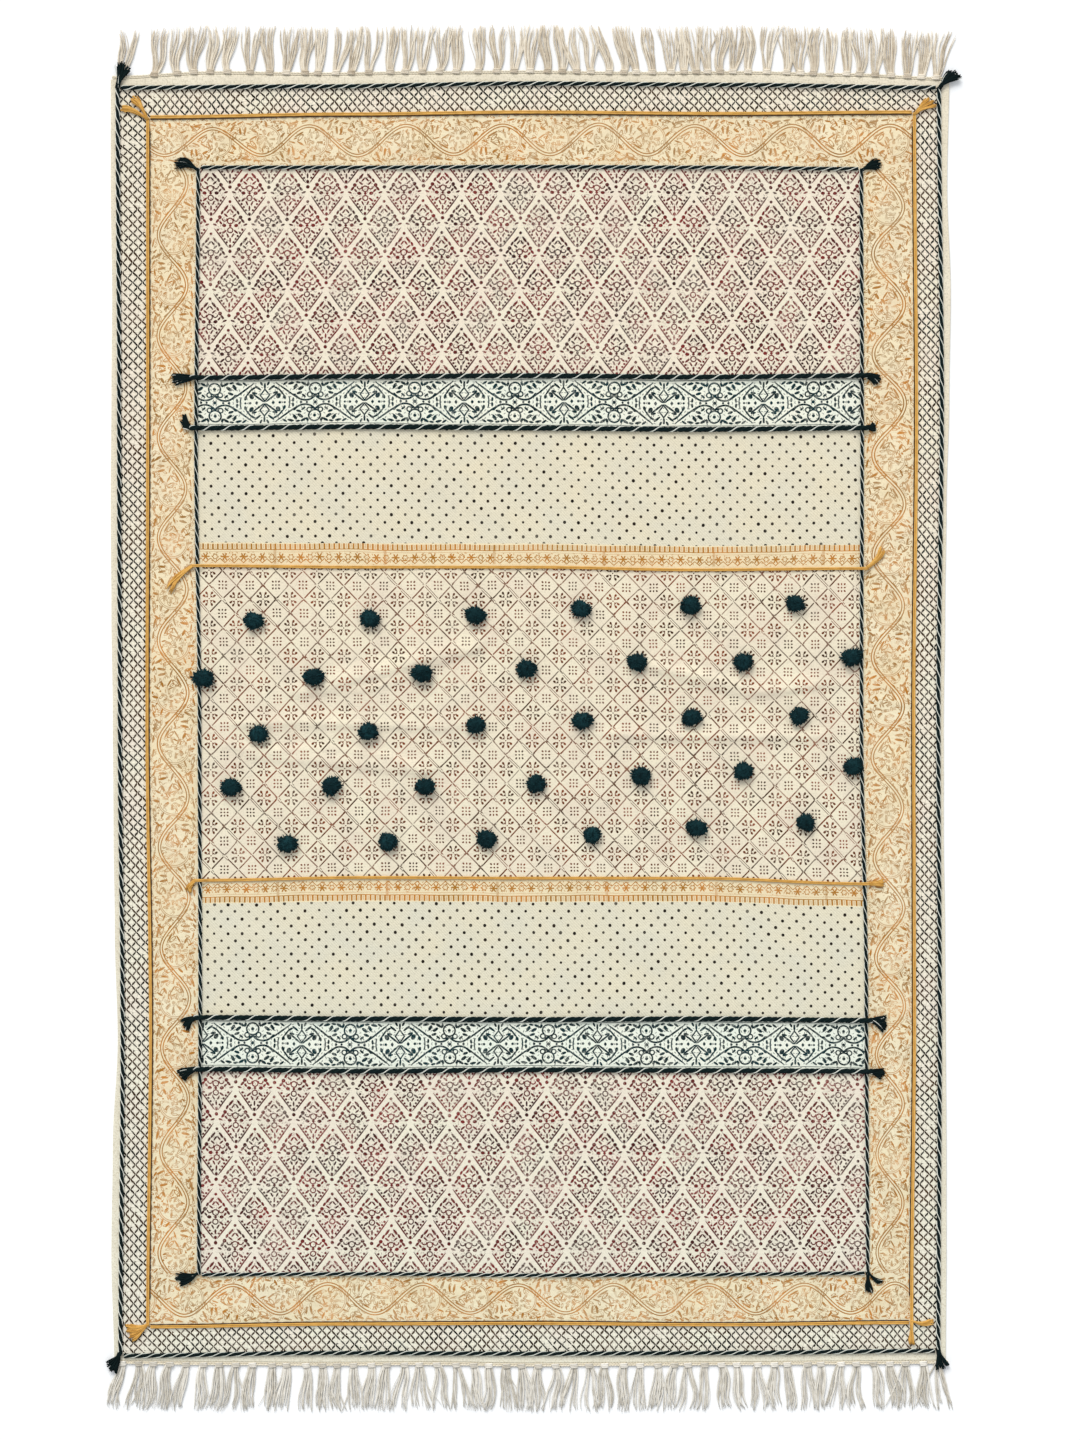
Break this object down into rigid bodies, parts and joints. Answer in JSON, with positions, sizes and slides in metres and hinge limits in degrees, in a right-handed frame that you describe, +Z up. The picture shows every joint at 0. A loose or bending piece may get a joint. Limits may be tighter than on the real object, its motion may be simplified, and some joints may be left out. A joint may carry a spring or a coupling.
{
  "type": "dhurrie rug",
  "caption": "Flat-woven cotton rug lying flat: printed border, band and field patterns, sewn cords with frayed ends, pompoms in the middle field and a knotted fringe at both ends",
  "frame": {"origin": "on the floor, under the middle of the rug with its fringe", "axes": "+Y along the rug's length, from the bottom fringe to the top fringe of the picture; +X to the right across it; +Z up off the floor"},
  "size_m": [1.2236, 1.9888, 0.019],
  "materials": {
    "printed_cotton": "matte, flat weave",
    "natural_yarn": "matte cotton yarn",
    "green_cord": "matte twisted cord",
    "mustard_cord": "soft sheen yarn",
    "pompom_yarn": "matte cut yarn"
  },
  "bodies": {
    "root": {"dhurrie_cloth": "printed_cotton", "fringe_top": "natural_yarn", "fringe_bottom": "natural_yarn", "cord_outer_left": "green_cord", "cord_outer_right": "green_cord", "cord_outer_top": "green_cord", "cord_outer_bottom": "green_cord", "cord_mustard_left": "mustard_cord", "cord_mustard_right": "mustard_cord", "cord_mustard_top": "mustard_cord", "cord_mustard_bottom": "mustard_cord", "cord_inner_left": "green_cord", "cord_inner_right": "green_cord", "cord_inner_top": "green_cord", "cord_inner_bottom": "green_cord", "cord_band_upper_a": "green_cord", "cord_band_upper_b": "green_cord", "cord_band_lower_a": "green_cord", "cord_band_lower_b": "green_cord", "cord_middle_upper": "mustard_cord", "cord_middle_lower": "mustard_cord", "pompom_a1": "pompom_yarn", "pompom_a2": "pompom_yarn", "pompom_a3": "pompom_yarn", "pompom_a4": "pompom_yarn", "pompom_a5": "pompom_yarn", "pompom_a6": "pompom_yarn", "pompom_b1": "pompom_yarn", "pompom_b2": "pompom_yarn", "pompom_b3": "pompom_yarn", "pompom_b4": "pompom_yarn", "pompom_b5": "pompom_yarn", "pompom_b6": "pompom_yarn", "pompom_b7": "pompom_yarn", "pompom_c1": "pompom_yarn", "pompom_c2": "pompom_yarn", "pompom_c3": "pompom_yarn", "pompom_c4": "pompom_yarn", "pompom_c5": "pompom_yarn", "pompom_c6": "pompom_yarn", "pompom_d1": "pompom_yarn", "pompom_d2": "pompom_yarn", "pompom_d3": "pompom_yarn", "pompom_d4": "pompom_yarn", "pompom_d5": "pompom_yarn", "pompom_d6": "pompom_yarn", "pompom_d7": "pompom_yarn", "pompom_e1": "pompom_yarn", "pompom_e2": "pompom_yarn", "pompom_e3": "pompom_yarn", "pompom_e4": "pompom_yarn", "pompom_e5": "pompom_yarn", "pompom_e6": "pompom_yarn"}
  },
  "joints": []
}
